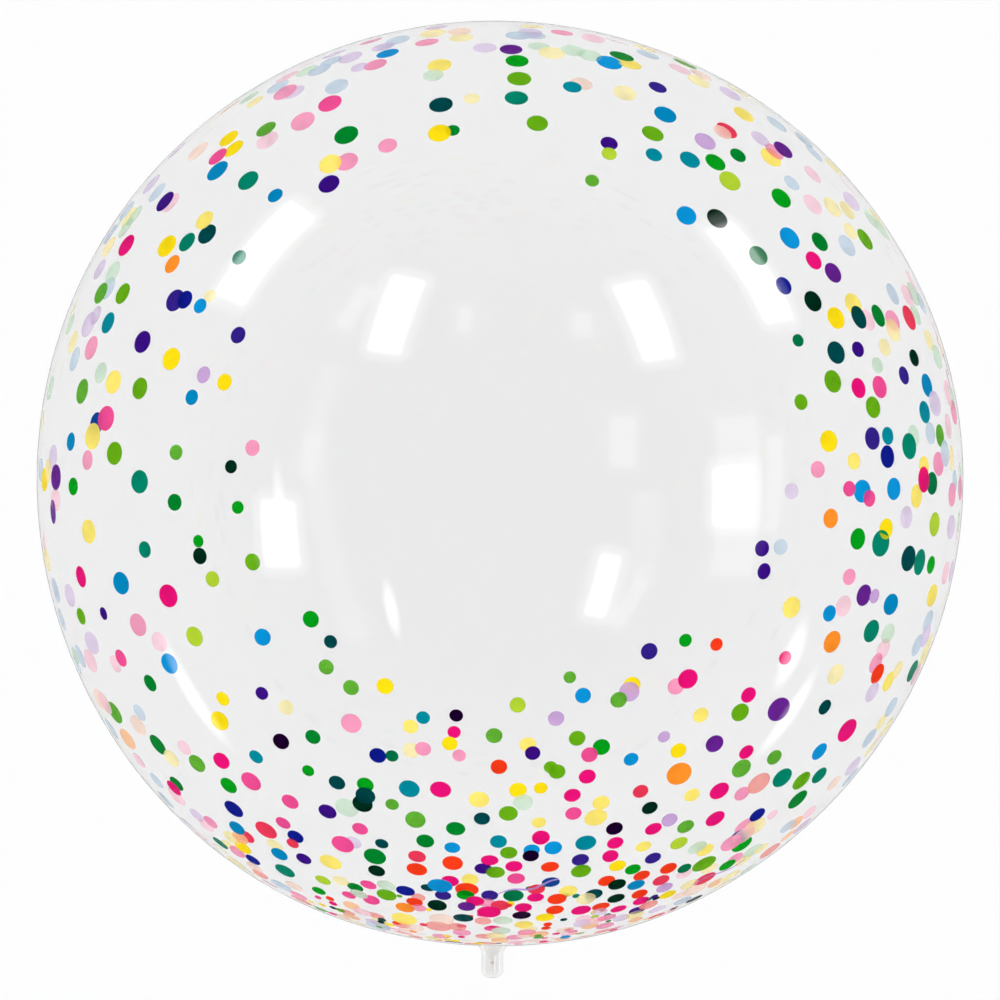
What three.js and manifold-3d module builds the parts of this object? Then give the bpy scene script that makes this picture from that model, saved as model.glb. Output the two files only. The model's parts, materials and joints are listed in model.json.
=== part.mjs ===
// A clear bubble balloon, blown up and sealed, lying on its side with its neck along -Y.
//
// The balloon is one moulded skin of clear film: a round bubble that runs through a small root
// fillet into a short closed neck. It is sealed, so it stands here as one solid. Millimetres,
// +Z up. The origin is the middle of the spot on the film that the balloon rests on.

import * as THREE from 'three';
import { mergeVertices } from 'three/addons/utils/BufferGeometryUtils.js';
import Module from 'manifold-3d';

// The bubble, a 24 inch size.
const BUBBLE_DIAMETER = 610;
const BUBBLE_RADIUS = BUBBLE_DIAMETER / 2;

// Film stretches unevenly as it is blown, so the round outline has three broad, low lobes.
// They die out towards the neck, where the thicker film stays round.
const LOBES = 3;
const LOBE_SWELL = 0.004;
const LOBE_TURN = THREE.MathUtils.degToRad( 15 );
const COLLAR_ANGLE = THREE.MathUtils.degToRad( 5 );
const LOBES_FULL_ANGLE = THREE.MathUtils.degToRad( 35 );

// The neck is as wide as a finger, round at its closed end, with a small flat tip.
const NECK_WIDTH = 15;
const NECK_LENGTH = 23;
const ROOT_FILLET = 8;
const TIP_ROUND = 4.5;

// What the film flattens to where the balloon lies on a surface.
const REST_SPOT_RADIUS = 33;

// How finely the round surfaces are faceted.
const TURNS = 80;
const DEGREES_PER_STEP = 4.5;
const FILLET_STEPS = 6;
const TIP_STEPS = 5;

const film = new THREE.MeshStandardMaterial( {
	name: 'clear film',
	color: 0xf4f5f6,
	roughness: 0.05,
	metalness: 0,
	transparent: true,
	opacity: 0.35
} );

// Half of the balloon's outline, from the tip of the neck to the crown opposite it.
function balloonProfile() {

	const neckRadius = NECK_WIDTH / 2;
	const tip = - BUBBLE_RADIUS - NECK_LENGTH;
	const crown = Math.PI / 2;

	// The root fillet's centre is one fillet radius outside both the bubble and the neck.
	const filletX = neckRadius + ROOT_FILLET;
	const filletY = - Math.sqrt( ( BUBBLE_RADIUS + ROOT_FILLET ) ** 2 - filletX ** 2 );
	const filletEnd = Math.atan2( - filletY, - filletX );
	const bubbleStart = Math.atan2( filletY, filletX );
	const bubbleSteps = Math.round( THREE.MathUtils.radToDeg( crown - bubbleStart ) / DEGREES_PER_STEP );

	const tipCorner = arc( neckRadius - TIP_ROUND, tip + TIP_ROUND, TIP_ROUND, - crown, 0, TIP_STEPS );
	const fillet = arc( filletX, filletY, ROOT_FILLET, Math.PI, filletEnd, FILLET_STEPS );
	const bubble = arc( 0, 0, BUBBLE_RADIUS, bubbleStart, crown, bubbleSteps );

	bubble[ bubbleSteps ].x = 0;
	return [ new THREE.Vector2( 0, tip ), ...tipCorner, ...fillet, ...bubble.slice( 1 ) ];

}

// Evenly spaced points along an arc, both ends included.
function arc( x, y, radius, from, to, steps ) {

	return Array.from( { length: steps + 1 }, ( _, i ) => {

		const angle = THREE.MathUtils.lerp( from, to, i / steps );
		return new THREE.Vector2( x + radius * Math.cos( angle ), y + radius * Math.sin( angle ) );

	} );

}

// Swells the round outline, seen along Z, into its low lobes. The rest spot, which lies on Z,
// and the collar of film around the neck stay where they are.
function swellLobes( geometry ) {

	const neckAxis = new THREE.Vector3( 0, - 1, 0 );
	const point = new THREE.Vector3();
	const position = geometry.attributes.position;

	for ( let i = 0; i < position.count; i ++ ) {

		point.fromBufferAttribute( position, i );
		const turn = Math.atan2( point.y, point.x );
		const share = ( point.x ** 2 + point.y ** 2 ) / point.lengthSq();
		const clear = THREE.MathUtils.smoothstep( point.angleTo( neckAxis ), COLLAR_ANGLE, LOBES_FULL_ANGLE );
		const swell = LOBE_SWELL * share * clear * Math.cos( LOBES * ( turn - LOBE_TURN ) );
		point.multiplyScalar( 1 + swell );
		position.setXYZ( i, point.x, point.y, point.z );

	}

}

// A closed geometry as a solid, for a boolean cut.
function toSolid( library, geometry ) {

	const bare = geometry.clone();
	bare.deleteAttribute( 'normal' );
	bare.deleteAttribute( 'uv' );
	const merged = mergeVertices( bare );

	return new library.Manifold( new library.Mesh( {
		numProp: 3,
		vertProperties: new Float32Array( merged.attributes.position.array ),
		triVerts: new Uint32Array( merged.index.array )
	} ) );

}

// A solid back as a geometry.
function toGeometry( solid ) {

	const mesh = solid.getMesh();
	const geometry = new THREE.BufferGeometry();
	geometry.setAttribute( 'position', new THREE.BufferAttribute( mesh.vertProperties, 3 ) );
	geometry.setIndex( new THREE.BufferAttribute( mesh.triVerts, 1 ) );
	geometry.computeVertexNormals();
	return geometry;

}

const library = await Module();
library.setup();

// The profile turns about Y, the neck's own axis.
const round = new THREE.LatheGeometry( balloonProfile(), TURNS );
swellLobes( round );

// The bubble's middle sits low enough for the surface below to flatten the rest spot.
const middleHeight = Math.sqrt( BUBBLE_RADIUS ** 2 - REST_SPOT_RADIUS ** 2 );
round.translate( 0, 0, middleHeight );

const surface = new THREE.BoxGeometry( BUBBLE_DIAMETER, BUBBLE_DIAMETER, BUBBLE_RADIUS );
surface.translate( 0, 0, - BUBBLE_RADIUS / 2 );

const resting = toSolid( library, round ).subtract( toSolid( library, surface ) );

const bubble = new THREE.Mesh( toGeometry( resting ), film );
bubble.name = 'bubble';

const balloon = new THREE.Group();
balloon.add( bubble );

export default balloon;
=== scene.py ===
# A clear bubble balloon lying on its side, with dyed tissue confetti clinging inside it.
# Metres, +Z up. The neck points along -Y, and the origin is where the film rests on the floor.

import json
import math
import random

import bmesh
import bpy
from mathutils import Matrix, Quaternion, Vector


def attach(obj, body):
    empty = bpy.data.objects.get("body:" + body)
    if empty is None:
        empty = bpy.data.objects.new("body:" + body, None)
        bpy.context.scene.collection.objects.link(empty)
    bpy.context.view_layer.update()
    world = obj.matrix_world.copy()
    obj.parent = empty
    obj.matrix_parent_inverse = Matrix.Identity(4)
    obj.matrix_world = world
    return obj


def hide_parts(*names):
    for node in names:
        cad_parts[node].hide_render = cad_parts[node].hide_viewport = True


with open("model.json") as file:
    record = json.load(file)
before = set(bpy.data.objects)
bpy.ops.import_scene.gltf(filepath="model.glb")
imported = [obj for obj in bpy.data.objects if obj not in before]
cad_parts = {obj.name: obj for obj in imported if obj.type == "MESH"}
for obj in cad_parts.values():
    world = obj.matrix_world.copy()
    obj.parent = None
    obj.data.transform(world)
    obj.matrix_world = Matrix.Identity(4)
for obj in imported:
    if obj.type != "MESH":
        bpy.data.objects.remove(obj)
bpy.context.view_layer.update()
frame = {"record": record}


# ---- Camera -------------------------------------------------------------------------------
# It hangs straight over the lying balloon, far enough back that the round outline is hardly
# bent by perspective, with the neck at the bottom. The outline fills its share of the frame.

BUBBLE_RADIUS = 0.305
mounts = {mount["name"]: mount for mount in frame["record"]["mounts"]}
MIDDLE = Vector((0, 0, mounts["neck_end"]["pos_m"][2]))
NECK_TIP = mounts["neck_end"]["pos_m"][1]

CAMERA_DISTANCE = 8 * BUBBLE_RADIUS
OUTLINE_SHARE = 0.9266
CAMERA_ROLL = math.radians(0.75)
CAMERA_ASIDE = Vector((0.001, -0.0112, 0))

camera_data = bpy.data.cameras.new("camera")
tangent = math.sqrt((CAMERA_DISTANCE / BUBBLE_RADIUS) ** 2 - 1)
camera_data.lens = camera_data.sensor_width * OUTLINE_SHARE / 2 * tangent
camera_data.clip_end = 50
camera = bpy.data.objects.new("camera", camera_data)
camera.location = MIDDLE + CAMERA_ASIDE + Vector((0, 0, CAMERA_DISTANCE))
camera.rotation_euler = (0, 0, CAMERA_ROLL)
bpy.context.collection.objects.link(camera)
bpy.context.scene.camera = camera


# ---- Floor, backdrop and studio light ------------------------------------------------------
# A plain white floor under an even overhead light, in a room that is bright near the horizon
# and dim above. The softboxes stand around the balloon to put their soft-edged windows on the
# film. Only they show in its gloss.

FLOOR_SIZE = 14.0
FLOOR_WHITE = "#F3F3F3"
HORIZON, CEILING = "#F9F9F9", "#616163"
CEILING_EDGE = 0.7


def linear(hex_colour):
    """An sRGB hex colour as linear RGBA."""
    channels = [int(hex_colour[i:i + 2], 16) / 255 for i in (1, 3, 5)]
    return [c / 12.92 if c <= 0.04045 else ((c + 0.055) / 1.055) ** 2.4 for c in channels] + [1]


def add_node(tree, kind, links=None, **settings):
    """Adds a node. Settings name its attributes, or its inputs by name; links feed its inputs."""
    node = tree.nodes.new(kind)
    for name, value in settings.items():
        if hasattr(node, name):
            setattr(node, name, value)
        else:
            node.inputs[name.replace("_", " ")].default_value = value
    for name, source in (links or {}).items():
        tree.links.new(source, node.inputs[name])
    return node


def new_material(name):
    """An empty node material."""
    material = bpy.data.materials.new(name)
    material.use_nodes = True
    material.node_tree.nodes.clear()
    return material


def add_object(name, bm, material):
    """A finished piece from a bmesh, at the origin."""
    mesh = bpy.data.meshes.new(name)
    bm.to_mesh(mesh)
    bm.free()
    mesh.materials.append(material)
    piece = bpy.data.objects.new(name, mesh)
    bpy.context.collection.objects.link(piece)
    return piece


floor_paint = new_material("matt white floor paint")
floor_tree = floor_paint.node_tree
floor_shader = add_node(floor_tree, "ShaderNodeBsdfPrincipled", Roughness=0.9)
floor_shader.inputs["Base Color"].default_value = linear(FLOOR_WHITE)
floor_shader.inputs["Specular IOR Level"].default_value = 0.0
add_node(floor_tree, "ShaderNodeOutputMaterial", {"Surface": floor_shader.outputs[0]})

floor_bm = bmesh.new()
bmesh.ops.create_grid(floor_bm, x_segments=1, y_segments=1, size=FLOOR_SIZE / 2)
floor = add_object("floor", floor_bm, floor_paint)
floor.visible_glossy = False

world = bpy.data.worlds.new("studio")
world.use_nodes = True
world.cycles_visibility.glossy = False
bpy.context.scene.world = world
world_tree = world.node_tree
world_tree.nodes.clear()
world_place = add_node(world_tree, "ShaderNodeTexCoord")
world_split = add_node(world_tree, "ShaderNodeSeparateXYZ",
                       {"Vector": world_place.outputs["Generated"]})
world_ramp = add_node(world_tree, "ShaderNodeValToRGB", {"Fac": world_split.outputs["Z"]})
world_ramp.color_ramp.elements[0].color = linear(HORIZON)
world_ramp.color_ramp.elements[1].position = CEILING_EDGE
world_ramp.color_ramp.elements[1].color = linear(CEILING)
world_light = add_node(world_tree, "ShaderNodeBackground", {"Color": world_ramp.outputs["Color"]})
add_node(world_tree, "ShaderNodeOutputWorld", {"Surface": world_light.outputs[0]})

sky = bpy.data.lights.new("overhead", "SUN")
sky.energy = 2.67
sky.angle = math.radians(60)
overhead = bpy.data.objects.new("overhead", sky)
overhead.visible_glossy = False
overhead.visible_transmission = False
bpy.context.collection.objects.link(overhead)

# How far the glow reaches past a softbox's cloth, how bright the lamps are, how far off they
# stand, and how they fade: a share of their brightness at each share of the way out.
GLOW_WIDTH = 0.13
BRIGHT, PALE = 6.5, 1.3
FAR, NEAR = 1.7, 1.15
CLOTH_FADE = ((0, 1), (0.45, 0.2), (1, 0))
STREAK_FADE = ((0, 1), (1, 0))


def light_softly(lamp, fade_width, fade):
    """Makes an area lamp even in the middle, fading over a width at its edges."""
    lamp.use_nodes = True
    tree = lamp.node_tree
    tree.nodes.clear()
    fades_across = Vector((lamp.size / fade_width.x, lamp.size_y / fade_width.y, 0))
    spot = add_node(tree, "ShaderNodeNewGeometry")
    place = add_node(tree, "ShaderNodeMapping", {"Vector": spot.outputs["Parametric"]},
                     Scale=fades_across, Location=-fades_across / 2)
    from_middle = add_node(tree, "ShaderNodeVectorMath", {0: place.outputs[0]},
                           operation="ABSOLUTE")
    past_cloth = add_node(tree, "ShaderNodeVectorMath", {0: from_middle.outputs[0]},
                          operation="SUBTRACT")
    past_cloth.inputs[1].default_value = fades_across / 2 - Vector((1, 1, 0))
    outside = add_node(tree, "ShaderNodeVectorMath", {0: past_cloth.outputs[0]},
                       operation="MAXIMUM")
    distance_out = add_node(tree, "ShaderNodeVectorMath", {0: outside.outputs[0]},
                            operation="LENGTH")
    ramp = add_node(tree, "ShaderNodeValToRGB", {"Fac": distance_out.outputs["Value"]})
    ramp.color_ramp.interpolation = "EASE"
    stops = ramp.color_ramp.elements
    for number, (position, brightness) in enumerate(fade):
        stop = stops[number] if number < len(stops) else stops.new(position)
        stop.position = position
        stop.color = (brightness, brightness, brightness, 1)
    shine = add_node(tree, "ShaderNodeEmission", {"Color": ramp.outputs["Color"]})
    add_node(tree, "ShaderNodeOutputLight", {"Surface": shine.outputs[0]})


def add_softbox(name, bearing, height_angle, size, tilt=0.0, radiance=BRIGHT, distance=FAR,
                streak=False):
    """A softbox aimed at the balloon's middle, from a bearing and an angle above level. It only
    shows in gloss. Its cloth is even, with a faint glow around the frame, but a streak is an
    oval that fades all the way from its middle."""
    cloth = Vector((0, 0, 0)) if streak else Vector((*size, 0))
    fade_width = Vector((*size, 0)) / 2 if streak else Vector((GLOW_WIDTH, GLOW_WIDTH, 0))
    lamp = bpy.data.lights.new(name, "AREA")
    lamp.shape = "RECTANGLE"
    lamp.size, lamp.size_y, _ = cloth + 2 * fade_width
    lamp.energy = radiance * math.pi * lamp.size * lamp.size_y
    light_softly(lamp, fade_width, STREAK_FADE if streak else CLOTH_FADE)
    box = bpy.data.objects.new(name, lamp)
    bearing, height_angle = math.radians(bearing), math.radians(height_angle)
    level = math.cos(height_angle)
    away = Vector((level * math.cos(bearing), level * math.sin(bearing), math.sin(height_angle)))
    aim = away.to_track_quat("Z", "Y") @ Quaternion((0, 0, 1), math.radians(tilt))
    box.matrix_world = Matrix.Translation(MIDDLE + away * distance) @ aim.to_matrix().to_4x4()
    box.visible_camera = False
    box.visible_transmission = False
    box.visible_diffuse = False
    bpy.context.collection.objects.link(box)


add_softbox("softbox_far_left", 136.5, 11.5, (0.55, 0.23), 9)
add_softbox("softbox_far_right", 41, 11, (0.53, 0.19), -14)
add_softbox("softbox_high_left", 122, 47, (0.45, 0.155), 44)
add_softbox("softbox_high_right", 49, 41.5, (0.45, 0.16), -32)
add_softbox("softbox_left", 194, 39.5, (0.31, 0.185), -11)
add_softbox("softbox_right", -3, 37.5, (0.28, 0.245), 5)
add_softbox("streak_left", 186, 41, (0.62, 0.13), 2, BRIGHT / 2, streak=True)
add_softbox("streak_low_left", 230, 54, (0.50, 0.12), -40, streak=True)
add_softbox("strip_low_right", -44, 58, (0.33, 0.07), 32)
add_softbox("streak_front_left", 215, 0, (0.50, 0.14), -7, distance=NEAR, streak=True)
add_softbox("streak_front_right", -30, 11, (0.34, 0.15), 19, distance=NEAR, streak=True)
add_softbox("streak_front_low_right", -38, 0, (0.42, 0.13), 13, distance=NEAR, streak=True)

# Paler things in the room: cloths lit by the softboxes, and edges of their stands.
add_softbox("spill_right", -3, 36, (0.90, 0.26), 3, PALE)
add_softbox("spill_far_right", 0, 27, (0.48, 0.06), -2, PALE)
add_softbox("spill_low_right", -42, 51, (0.29, 0.05), 15, PALE)
add_softbox("spill_high_left", 130, 40, (0.25, 0.06), 20, PALE)
add_softbox("spill_back_left", 102, 54, (0.11, 0.03), 74, PALE)
add_softbox("spill_back_right", 63, 51, (0.11, 0.06), -63, PALE)
add_softbox("spill_above_right", 19, 62, (0.27, 0.12), -20, PALE)
add_softbox("edge_left", 199, 50, (1.27, 0.11), -7, PALE / 2)
add_softbox("edge_back_left", 163, 48, (0.64, 0.08), 4, PALE / 2)
add_softbox("edge_right", -19, 56, (0.45, 0.12), 20, PALE / 2)

bpy.context.scene.view_settings.view_transform = "Standard"


# ---- Film ----------------------------------------------------------------------------------
# The balloon itself: one skin of clear polyurethane film, moulded with its neck, blown up and
# sealed. The film is thin on the bubble and thicker in the neck, where it was stretched less.
# Its wall is drawn about three times too thick, so that its two faces stay apart. It isn't
# quite round: it has three broad, low lobes, and it is flattened where it rests.

NECK_RADIUS = 0.0075
ROOT_FILLET = 0.008
TIP_ROUND = 0.0045
BUBBLE_WALL = 0.0003
NECK_WALL = 0.0009
LOBES = 3
LOBE_SWELL = 0.004
LOBE_TURN = math.radians(15)
COLLAR_ANGLE = math.radians(5)
LOBES_FULL_ANGLE = math.radians(35)
FILM_SIDES = 192
BUBBLE_STEPS, FILLET_STEPS, TIP_STEPS = 128, 10, 8
REST_EDGE_SOFTNESS = 0.0006
MERGE_GAP = 1e-6
NECK_ROOT = -0.3055  # along Y


def arc(centre, radius, start, end, steps):
    """Evenly spaced points along an arc in the XY plane, both ends included."""
    angles = [start + (end - start) * i / steps for i in range(steps + 1)]
    return [Vector((centre[0] + radius * math.cos(a), centre[1] + radius * math.sin(a), 0))
            for a in angles]


def film_outline(bubble_depth, neck_depth):
    """Half the balloon's outline from the neck's tip to the crown, at a depth in the film."""
    bubble = BUBBLE_RADIUS - bubble_depth
    neck = NECK_RADIUS - neck_depth
    fillet = ROOT_FILLET + neck_depth
    corner = TIP_ROUND - neck_depth
    tip = NECK_TIP + neck_depth
    fillet_x = neck + fillet
    fillet_y = -math.sqrt((bubble + fillet) ** 2 - fillet_x ** 2)
    start = math.atan2(fillet_y, fillet_x)
    points = [Vector((0, tip, 0))]
    points += arc((neck - corner, tip + corner), corner, -math.pi / 2, 0, TIP_STEPS)
    points += arc((fillet_x, fillet_y), fillet, math.pi, math.atan2(-fillet_y, -fillet_x),
                  FILLET_STEPS)
    points += arc((0, 0), bubble, start, math.pi / 2, BUBBLE_STEPS)[1:]
    points[-1].x = 0
    return points


def smoothstep(value, low, high):
    """Rises from 0 at low to 1 at high, gently at both ends."""
    share = min(max((value - low) / (high - low), 0), 1)
    return share * share * (3 - 2 * share)


def lobe_scale(point):
    """How far the film swells outwards at a point, seen from the bubble's middle."""
    flat = Vector((point.x, point.y))
    share = flat.length_squared / point.length_squared
    clear = smoothstep(point.angle(Vector((0, -1, 0))), COLLAR_ANGLE, LOBES_FULL_ANGLE)
    turn = math.atan2(point.y, point.x)
    return 1 + LOBE_SWELL * share * clear * math.cos(LOBES * (turn - LOBE_TURN))


def rest_height(z, depth):
    """The height of film that would be at z, where the part under the floor is flattened."""
    over = z - depth
    return depth + (over + math.sqrt(over * over + REST_EDGE_SOFTNESS ** 2)) / 2


def add_skin(bm, bubble_depth, neck_depth, facing_in):
    """Adds one face of the film to a bmesh, spun about the neck's axis."""
    skin = bmesh.new()
    outline = [skin.verts.new(p) for p in film_outline(bubble_depth, neck_depth)]
    edges = [skin.edges.new(pair) for pair in zip(outline, outline[1:])]
    bmesh.ops.spin(skin, geom=outline + edges, cent=(0, 0, 0), axis=(0, 1, 0),
                   angle=2 * math.pi, steps=FILM_SIDES, use_merge=True)
    bmesh.ops.remove_doubles(skin, verts=skin.verts, dist=MERGE_GAP)
    for vert in skin.verts:
        vert.co = vert.co * lobe_scale(vert.co) + MIDDLE
        vert.co.z = rest_height(vert.co.z, bubble_depth)
    bmesh.ops.recalc_face_normals(skin, faces=skin.faces)
    if facing_in:
        bmesh.ops.reverse_faces(skin, faces=skin.faces)
    mesh = bpy.data.meshes.new("skin")
    skin.to_mesh(mesh)
    skin.free()
    bm.from_mesh(mesh)
    bpy.data.meshes.remove(mesh)


# Polyurethane film: clear and glossy, and so thin that it hardly bends light. Drawn this thick,
# it would with its real IOR, so the IOR is near 1. The gloss is even, by a small metallic share,
# because more gloss at a slant would make its sides look milky. Shadow rays and soft light pass
# straight through. It is seen from far off, so its ripples from stretching are drawn coarse, a
# hand's width across.
FILM_TINT, NECK_TINT, VALVE_TINT = "#FAFAFA", "#FBFBFA", "#FEFDFC"
FILM_IOR, NECK_IOR = 1.006, 1.012
FILM_GLOSS, NECK_GLOSS, VALVE_GLOSS = 0.05, 0.06, 0.02
RIPPLE_WIDTH, RIPPLE_HEIGHT = 0.111, 0.0002


def clear_film(name, tint, ior, gloss, ripple=0.0):
    """Clear film, with ripples of a height if one is given."""
    material = new_material(name)
    tree = material.node_tree
    shader = add_node(tree, "ShaderNodeBsdfPrincipled", Roughness=0.0, IOR=ior, Metallic=gloss)
    if ripple:
        place = add_node(tree, "ShaderNodeTexCoord")
        noise = add_node(tree, "ShaderNodeTexNoise", {"Vector": place.outputs["Object"]},
                         Scale=1 / RIPPLE_WIDTH, Detail=2.0)
        bump = add_node(tree, "ShaderNodeBump", {"Height": noise.outputs["Fac"]},
                        Strength=1.0, Distance=ripple)
        tree.links.new(bump.outputs["Normal"], shader.inputs["Normal"])
    shader.inputs["Base Color"].default_value = linear(tint)
    shader.inputs["Transmission Weight"].default_value = 1.0
    clear = add_node(tree, "ShaderNodeBsdfTransparent")
    rays = add_node(tree, "ShaderNodeLightPath")
    passes = add_node(tree, "ShaderNodeMath", {0: rays.outputs["Is Shadow Ray"],
                                               1: rays.outputs["Is Diffuse Ray"]},
                      operation="MAXIMUM")
    mix = add_node(tree, "ShaderNodeMixShader", {0: passes.outputs[0], 1: shader.outputs[0],
                                                 2: clear.outputs[0]})
    add_node(tree, "ShaderNodeOutputMaterial", {"Surface": mix.outputs[0]})
    return material


film_clear = clear_film("clear blown polyurethane film", FILM_TINT, FILM_IOR, FILM_GLOSS,
                        RIPPLE_HEIGHT)
film_inside = clear_film("clear blown polyurethane film, inner face", FILM_TINT, FILM_IOR, 0)
neck_clear = clear_film("thick moulded polyurethane neck", NECK_TINT, NECK_IOR, NECK_GLOSS)

film_bm = bmesh.new()
add_skin(film_bm, 0, 0, False)
outer_faces = len(film_bm.faces)
add_skin(film_bm, BUBBLE_WALL, NECK_WALL, True)
OUTSIDE, INSIDE, NECK = 0, 1, 2
for number, face in enumerate(film_bm.faces):
    face.smooth = True
    if face.calc_center_median().y < NECK_ROOT:
        face.material_index = NECK
    else:
        face.material_index = OUTSIDE if number < outer_faces else INSIDE
film = add_object("film", film_bm, film_clear)
film.data.materials.append(film_inside)
film.data.materials.append(neck_clear)
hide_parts("bubble")
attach(film, "root")


# ---- Filling valve -------------------------------------------------------------------------
# A small funnel of slightly yellow film, sealed inside the neck when the balloon was moulded.
# It closed behind the filling straw, and a bead of glue keeps its tip shut.

VALVE_MOUTH_RADIUS = 0.0062
VALVE_TIP_RADIUS = 0.0007
VALVE_MOUTH, VALVE_TIP = -0.3065, -0.3170  # along Y
VALVE_WALL = 0.0002
VALVE_SIDES = 32
BEAD_RADIUS = 0.0012
BEAD_SIDES, BEAD_RINGS = 16, 10
AXIS_ALONG_Y = Matrix.Rotation(math.radians(90), 4, "X")

valve_middle = MIDDLE + Vector((0, (VALVE_MOUTH + VALVE_TIP) / 2, 0))
valve_bm = bmesh.new()
bmesh.ops.create_cone(valve_bm, cap_ends=False, segments=VALVE_SIDES,
                      radius1=VALVE_MOUTH_RADIUS, radius2=VALVE_TIP_RADIUS,
                      depth=VALVE_MOUTH - VALVE_TIP,
                      matrix=Matrix.Translation(valve_middle) @ AXIS_ALONG_Y)
bmesh.ops.solidify(valve_bm, geom=valve_bm.faces, thickness=VALVE_WALL)
for face in valve_bm.faces:
    face.smooth = True
valve_film = clear_film("yellowed polyurethane valve film", VALVE_TINT, FILM_IOR, VALVE_GLOSS)
valve = add_object("filling_valve", valve_bm, valve_film)
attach(valve, "root")

# Dried amber glue: smooth, half glossy and a little cloudy. Under the film and from so far off
# only a faint brownish dot is left of it.
GLUE_CLOUD_WIDTH = 0.0011
glue = new_material("dried amber glue")
glue_tree = glue.node_tree
glue_place = add_node(glue_tree, "ShaderNodeTexCoord")
glue_cloud = add_node(glue_tree, "ShaderNodeTexNoise", {"Vector": glue_place.outputs["Object"]},
                      Scale=1 / GLUE_CLOUD_WIDTH)
glue_ramp = add_node(glue_tree, "ShaderNodeValToRGB", {"Fac": glue_cloud.outputs["Fac"]})
glue_ramp.color_ramp.elements[0].color = linear("#C8B4AA")
glue_ramp.color_ramp.elements[1].color = linear("#DBCBC2")
glue_shader = add_node(glue_tree, "ShaderNodeBsdfPrincipled",
                       {"Base Color": glue_ramp.outputs["Color"]}, Roughness=0.35, IOR=1.45)
add_node(glue_tree, "ShaderNodeOutputMaterial", {"Surface": glue_shader.outputs[0]})

bead_middle = MIDDLE + Vector((0, VALVE_TIP - BEAD_RADIUS, 0))
bead_bm = bmesh.new()
bmesh.ops.create_uvsphere(bead_bm, u_segments=BEAD_SIDES, v_segments=BEAD_RINGS,
                          radius=BEAD_RADIUS)
bmesh.ops.translate(bead_bm, verts=bead_bm.verts, vec=bead_middle)
for face in bead_bm.faces:
    face.smooth = True
bead = add_object("valve_glue_bead", bead_bm, glue)
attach(bead, "root")


# ---- Confetti ------------------------------------------------------------------------------
# Discs punched from dyed tissue paper. They were put in before the balloon was blown up, and
# static holds them to the inside of the film, thickest towards the neck.

INNER_RADIUS = BUBBLE_RADIUS - BUBBLE_WALL
DISC_SIDES = 24
DISC_THICKNESS = 0.0002
LEAN, LEAN_SPREAD, MOST_LEAN_SHARE = 5, 2.5, 0.5
LEAST_SLANT = 1e-3
LOOSENESS = (0.0001, 0.0006)
NECK_CLEARANCE = math.radians(3.2)

# Three punches made the discs. The larger discs lie away from the neck, and the offcuts lie
# beside it.
SMALL_PUNCH, MIDDLE_PUNCH, LARGE_PUNCH = 0.0098, 0.0122, 0.0160
PUNCH_SPREAD = (0.94, 1.06)
LARGE_RING, LARGE_LOSS = (0.5, 1), 0.6
OFFCUTS = 80
OFFCUT_SIZES = (0.004, 0.007)
OFFCUT_RANGE = 0.4

# Each dye: its colour, and how common it is away from the neck and beside it.
DYES = {
    "hot_pink": ("#EC1480", 11, 34),
    "rose": ("#F2569C", 7, 6),
    "pale_pink": ("#F8A3C4", 6, 0),
    "yellow": ("#FFE418", 8, 16),
    "pale_yellow": ("#FFEC7A", 13, 9),
    "lime": ("#BAD83A", 3, 0),
    "leaf_green": ("#6FB418", 11, 7),
    "grass_green": ("#68B43A", 5, 4),
    "green": ("#04A51E", 8, 4),
    "emerald": ("#008A30", 5, 3),
    "bottle_green": ("#007A4A", 4, 3),
    "black_green": ("#00301E", 2, 6),
    "dark_teal": ("#004C50", 3, 7),
    "teal": ("#008C70", 5, 3),
    "turquoise": ("#0092A4", 5, 1),
    "sky_blue": ("#0A9CDC", 9, 0),
    "mid_blue": ("#008EC4", 6, 0),
    "deep_blue": ("#0E489C", 2, 1),
    "navy": ("#101E92", 3, 5),
    "indigo": ("#3A2490", 4, 4),
    "purple": ("#40108A", 5, 7),
    "violet": ("#6E2696", 4, 2),
    "black_purple": ("#1E002E", 1, 6),
    "orange_red": ("#F9431C", 1, 23),
    "coral": ("#EE4060", 2, 8),
    "orange": ("#FF9A30", 2, 3),
    "lavender": ("#CFAEDC", 2, 1),
}

# Pale dyes: partly tissue that the damp washed out, partly painted reflections of discs in the
# film.
FADED_REFLECTION_DYES = {
    "faded_blue": ("#CBD9E6", 3, 1),
    "faded_yellow": ("#F8EDB8", 2, 6),
    "faded_green": ("#D2E6D3", 2, 1),
    "faded_lilac": ("#E0D2E8", 2, 1),
    "faded_peach": ("#F6DFD2", 1, 2),
    "faded_pink": ("#F8D4DF", 2, 2),
    "faded_red": ("#F2A8A2", 0, 4),
    "faded_orange": ("#FAC8A0", 0, 2),
    "faded_rose": ("#F2A2C0", 1, 3),
}


# How many discs cling in each steradian of film: some everywhere, more on the right and most
# around the neck, where they also crowd outwards. A round window is left bare, and fewer cling
# at the very rim. Sides are in degrees and distances out in bubble radii, as the camera sees
# them.
CROWD, CROWD_BY_NECK, CROWD_ON_RIGHT = 25, 118, 30
NECK_SIDE, NECK_SPREAD = -88, 31
RIGHT_SIDE, RIGHT_SPREAD = 15, 35
INNER_CROWD, MIDDLE_CROWD, OUTER_CROWD = 0.66, 0.34, 0.45
MIDDLE_RING, OUTER_RING, RIM_RING = (0.75, 0.87), (0.87, 0.96), (0.95, 1)
RIM_LOSS = 0.6
WINDOW, WINDOW_RISE = 0.43, 0.23
WINDOW_LOW_SIDE, WINDOW_RISE_ANGLES = -110, (60, 125)
WINDOW_EDGE = (-0.02, 0.1)


def degrees_apart(one, other):
    """The angle between two sides."""
    return abs((one - other + 180) % 360 - 180)


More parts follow.
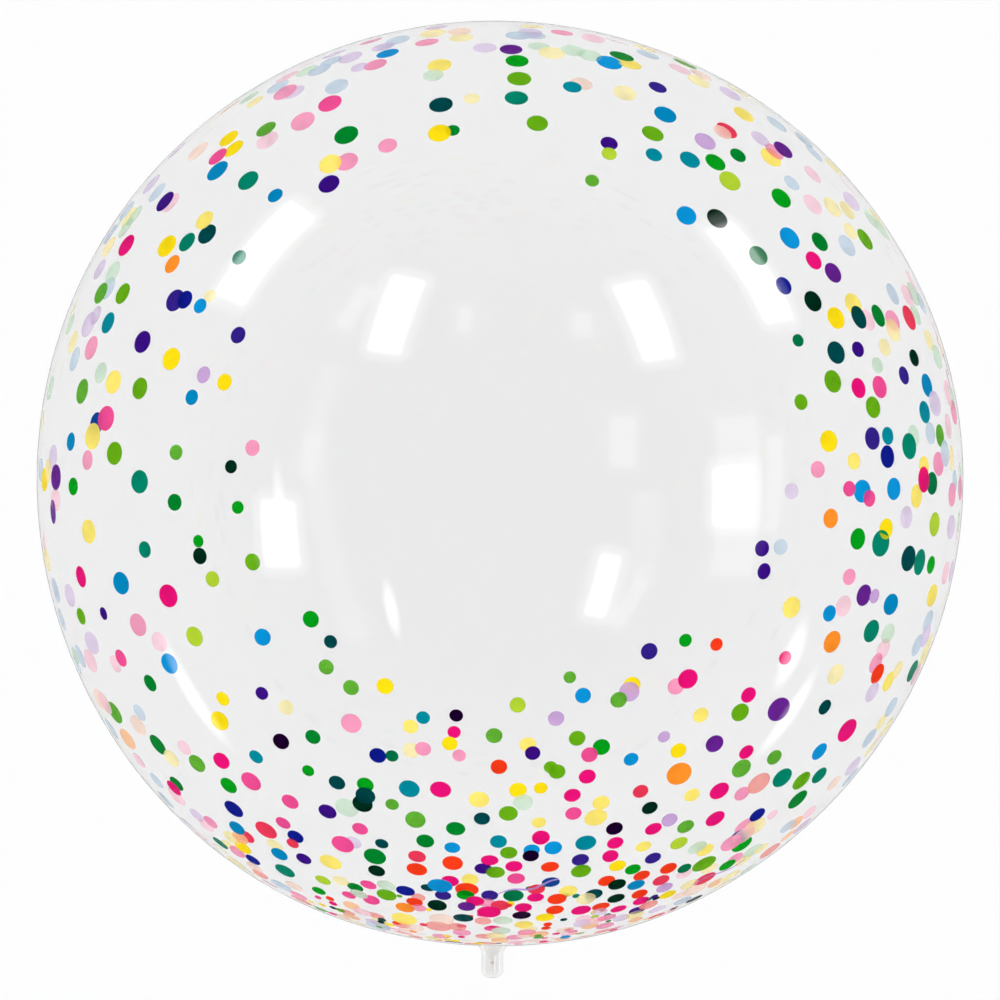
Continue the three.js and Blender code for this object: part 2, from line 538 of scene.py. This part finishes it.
def crowding(seen):
    """How many discs cling in each steradian of film, by where the camera sees it."""
    side = math.degrees(math.atan2(seen.y, seen.x))
    out = seen.length
    rise = smoothstep(degrees_apart(side, WINDOW_LOW_SIDE), *WINDOW_RISE_ANGLES)
    window = WINDOW + WINDOW_RISE * rise
    outwards = (INNER_CROWD + MIDDLE_CROWD * smoothstep(out, *MIDDLE_RING)
                + OUTER_CROWD * smoothstep(out, *OUTER_RING))
    neck = outwards * math.exp(-(degrees_apart(side, NECK_SIDE) / NECK_SPREAD) ** 2)
    right = math.exp(-(degrees_apart(side, RIGHT_SIDE) / RIGHT_SPREAD) ** 2)
    crowd = CROWD + CROWD_BY_NECK * neck + CROWD_ON_RIGHT * right
    crowd *= smoothstep(out, window + WINDOW_EDGE[0], window + WINDOW_EDGE[1])
    return crowd * (1 - RIM_LOSS * smoothstep(out, *RIM_RING))


# Few discs are pale in the middle, more further out, though not by the neck, and most at the
# very rim. They are partly washed-out dye and partly painted reflections: discs mirrored in the
# film where it is seen at a slant.
FADED_REFLECTION_SHARE, FADED_REFLECTION_OUTWARDS, FADED_REFLECTION_AT_RIM = 0.02, 0.12, 0.6
FADED_REFLECTION_RING, FADED_REFLECTION_RIM_RING = (0.85, 0.96), (0.965, 0.995)
FADED_REFLECTION_AWAY_FROM_NECK = 0.8


def faded_reflection_share(direction, out):
    """The share of discs that are washed out, by direction and distance out."""
    away = 1 + FADED_REFLECTION_AWAY_FROM_NECK * direction.y
    return (FADED_REFLECTION_SHARE + FADED_REFLECTION_OUTWARDS * smoothstep(out, *FADED_REFLECTION_RING) * away
            + FADED_REFLECTION_AT_RIM * smoothstep(out, *FADED_REFLECTION_RIM_RING))


def nearness(direction):
    """How near the neck a direction is: 1 at the neck, and 0 from halfway round."""
    return max(0, -direction.y) ** 3


def pick(rng, weighted):
    """A random key of a dictionary of weights."""
    keys = list(weighted)
    return rng.choices(keys, [weighted[key] for key in keys])[0]


def random_direction(rng):
    """An even choice of all directions."""
    z = rng.uniform(-1, 1)
    turn = rng.uniform(-math.pi, math.pi)
    level = math.sqrt(1 - z * z)
    return Vector((level * math.cos(turn), level * math.sin(turn), z))


def random_diameter(rng, direction):
    """The size of a punched disc, by direction."""
    by_neck = nearness(direction)
    level = math.hypot(direction.x, direction.y)
    large = smoothstep(level, *LARGE_RING) * (1 - LARGE_LOSS * by_neck)
    small = 1 - large
    punch = pick(rng, {SMALL_PUNCH: small ** 2, MIDDLE_PUNCH: 2 * (small * large + by_neck),
                       LARGE_PUNCH: large ** 2})
    return punch * rng.uniform(*PUNCH_SPREAD)


def random_dye(rng, dyes, direction):
    """A dye by its weights, which change towards the neck."""
    by_neck = nearness(direction)
    weights = {name: far + (near - far) * by_neck for name, (_, far, near) in dyes.items()}
    return pick(rng, weights)


# Static pushes the discs apart. Most keep a gap that suits how crowded they are, at least just
# clear of touching, and a few loose or pale ones overlap their neighbours. The pale ones are
# partly washed-out discs and partly painted reflections of discs in the film.
TRIES = 22000
MOST_CROWDED = 210
SPREAD = 0.8
LEAST_GAP = 1.05
LOOSE_SHARE = 0.07
LOOSE_GAP = 0.55
LEAST_FORESHORTENING = 0.3


def seen_disc(direction, diameter):
    """Where the camera sees a disc, with its width and its foreshortened depth, in radii."""
    nearer = CAMERA_DISTANCE / (CAMERA_DISTANCE - direction.z * BUBBLE_RADIUS)
    width = diameter / BUBBLE_RADIUS * nearer
    depth = width * max(abs(direction.z), LEAST_FORESHORTENING)
    return Vector((direction.x, direction.y)) * nearer, width, depth


def seen_gap(one, other):
    """How far apart two discs look. At 1 their edges touch."""
    between = one[0] - other[0]
    outwards = between.dot((one[0] + other[0]).normalized())
    sideways = math.sqrt(max(between.length_squared - outwards ** 2, 0))
    return 2 * math.hypot(outwards / (one[2] + other[2]), sideways / (one[1] + other[1]))


def scatter_discs(rng):
    """Directions, diameters and dyes of the discs and the offcuts."""
    discs = []
    places = []
    neckwards = Vector((0, -1, 0))
    for _ in range(TRIES):
        direction = random_direction(rng)
        diameter = random_diameter(rng, direction)
        place = seen_disc(direction, diameter)
        crowd = crowding(place[0])
        if rng.random() > crowd / MOST_CROWDED or direction.angle(neckwards) < NECK_CLEARANCE:
            continue
        # Some discs are pale: partly washed-out dye, partly painted reflections of discs in the
        # film.
        faded_reflection = rng.random() < faded_reflection_share(direction, place[0].length)
        if faded_reflection or rng.random() < LOOSE_SHARE * (1 - nearness(direction)):
            least = LOOSE_GAP
        else:
            least = max(LEAST_GAP, SPREAD / math.sqrt(2 * crowd) * BUBBLE_RADIUS / diameter)
        if any(seen_gap(place, other) < least for other in places):
            continue
        dye = random_dye(rng, FADED_REFLECTION_DYES if faded_reflection else DYES, direction)
        discs.append((direction, diameter, dye))
        places.append(place)
    for _ in range(OFFCUTS):
        direction = (neckwards + random_direction(rng) * OFFCUT_RANGE).normalized()
        if direction.angle(neckwards) > NECK_CLEARANCE:
            dye = random_dye(rng, DYES, direction)
            discs.append((direction, rng.uniform(*OFFCUT_SIZES), dye))
    return discs


def disc_place(rng, direction, diameter):
    """Where a disc lies: close against the film, a little loose, leaning a little to level."""
    lean = math.radians(rng.gauss(LEAN, LEAN_SPREAD))
    upright = Vector((0, 0, 1 if direction.z > 0 else -1))
    lean_share = min(lean / max(direction.angle(upright), LEAST_SLANT), MOST_LEAN_SHARE)
    normal = direction.slerp(upright, lean_share)
    gap = diameter / 2 * math.sin(abs(lean)) + diameter ** 2 / (8 * INNER_RADIUS)
    depth = gap + DISC_THICKNESS + rng.uniform(*LOOSENESS)
    centre = direction * (INNER_RADIUS * lobe_scale(direction) - depth) + MIDDLE
    turn = Quaternion((0, 0, 1), rng.uniform(0, math.tau))
    facing = normal.to_track_quat("Z", "Y") @ turn
    return Matrix.Translation(centre) @ facing.to_matrix().to_4x4()


# Dyed tissue paper, smooth on one side. It is sheer, more so in the pale discs, which are partly
# washed-out dye and partly painted reflections of discs in the film, and where two discs lie over
# each other their dyes multiply. So thin a sheet hardly bends light, and its IOR is near 1. The
# dye took a little unevenly in the fibres, and each sheet has a painted glow in its dye's colour
# that brightens it. The uneven patches are drawn as wide as a disc, because finer ones would
# hardly show.
DYED_SHEER, PALE_SHEER = 0.6, 0.9
DYE_PATCH_WIDTH, PATCH_SHADE = 0.0143, 0.85
PATCH_START, PATCH_END = 0.3, 0.6
PAINTED_GLOW = 0.1


def tissue(name, colour, sheer):
    """Tissue paper in a dye, see-through by its sheerness."""
    material = new_material(name + " tissue paper")
    tree = material.node_tree
    place = add_node(tree, "ShaderNodeTexCoord")
    cloud = add_node(tree, "ShaderNodeTexNoise", {"Vector": place.outputs["Object"]},
                     Scale=1 / DYE_PATCH_WIDTH, Detail=3.0)
    dye = linear(colour)
    deep = [channel * PATCH_SHADE for channel in dye[:3]] + [1]
    ramp = add_node(tree, "ShaderNodeValToRGB", {"Fac": cloud.outputs["Fac"]})
    ramp.color_ramp.elements[0].position = PATCH_START
    ramp.color_ramp.elements[0].color = deep
    ramp.color_ramp.elements[1].position = PATCH_END
    ramp.color_ramp.elements[1].color = dye
    shader = add_node(tree, "ShaderNodeBsdfPrincipled", {"Base Color": ramp.outputs["Color"]},
                      Roughness=0.2, IOR=1.05)
    shader.inputs["Transmission Weight"].default_value = sheer
    shader.inputs["Specular IOR Level"].default_value = 0.1
    # A painted glow: each sheet gives off a little light in its own dye's colour, to brighten it.
    shader.inputs["Emission Color"].default_value = dye
    shader.inputs["Emission Strength"].default_value = PAINTED_GLOW
    material.cycles.emission_sampling = "NONE"  # far too faint to light anything else
    add_node(tree, "ShaderNodeOutputMaterial", {"Surface": shader.outputs[0]})
    return material


SEED = 7
chance = random.Random(SEED)
ALL_DYES = DYES | FADED_REFLECTION_DYES
batches = {name: bmesh.new() for name in ALL_DYES}
for disc_direction, disc_diameter, disc_dye in scatter_discs(chance):
    bmesh.ops.create_cone(batches[disc_dye], cap_ends=True, segments=DISC_SIDES,
                          radius1=disc_diameter / 2, radius2=disc_diameter / 2,
                          depth=DISC_THICKNESS,
                          matrix=disc_place(chance, disc_direction, disc_diameter))
for dye_name, batch in batches.items():
    sheer = PALE_SHEER if dye_name in FADED_REFLECTION_DYES else DYED_SHEER
    paper = tissue(dye_name, ALL_DYES[dye_name][0], sheer)
    discs = add_object("confetti_" + dye_name, batch, paper)
    discs.visible_shadow = False
    discs.visible_diffuse = False
    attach(discs, "root")


# ---- Tissue threads ------------------------------------------------------------------------
# Two thin lavender threads torn off the tissue's edge when the discs were punched. They cling
# to the upper side near the neck, in shallow waves.

THREAD_STEPS = 48
THREAD_WIDTH = 0.0022
WAVE_HEIGHT, CURL_HEIGHT = 0.35, 0.2
CURL_START, CURL_TURN = 5, 9
END_SHARE, END_ROUNDING = 0.35, 0.04


def add_thread(bm, turns, heights, waves):
    """A thread on the film's inside, between two turns about the upright and two heights above
    level, all in degrees."""
    sections = []
    for step in range(THREAD_STEPS + 1):
        share = step / THREAD_STEPS
        turn = math.radians(turns[0] + (turns[1] - turns[0]) * share)
        wave = WAVE_HEIGHT * math.sin(math.tau * waves * share)
        curl = CURL_HEIGHT * math.sin(CURL_START + CURL_TURN * share)
        height = math.radians(heights[0] + (heights[1] - heights[0]) * share + wave + curl)
        level = math.cos(height)
        out = Vector((level * math.cos(turn), level * math.sin(turn), math.sin(height)))
        centre = out * (INNER_RADIUS * lobe_scale(out) - 2 * DISC_THICKNESS) + MIDDLE
        fullness = math.sin(math.pi * min(max(share, END_ROUNDING), 1 - END_ROUNDING))
        half = out.cross(Vector((0, 0, 1))).cross(out).normalized() * THREAD_WIDTH / 2
        half *= END_SHARE + (1 - END_SHARE) * fullness
        thick = out * DISC_THICKNESS / 2
        sections.append([bm.verts.new(centre + corner) for corner in
                         (half + thick, half - thick, -half - thick, -half + thick)])
    for one, two in zip(sections, sections[1:]):
        for i in range(4):
            bm.faces.new((one[i], one[i - 1], two[i - 1], two[i]))
    bm.faces.new(sections[0])
    bm.faces.new(reversed(sections[-1]))


thread_bm = bmesh.new()
add_thread(thread_bm, (-89.4, -80.6), (33.5, 35.5), 1.5)
add_thread(thread_bm, (-63.5, -56.0), (21.5, 19.0), 1)
bmesh.ops.recalc_face_normals(thread_bm, faces=thread_bm.faces)
lavender = tissue("lavender thread", "#C4A4E6", PALE_SHEER)
threads = add_object("tissue_threads", thread_bm, lavender)
threads.visible_shadow = False
threads.visible_diffuse = False
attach(threads, "root")
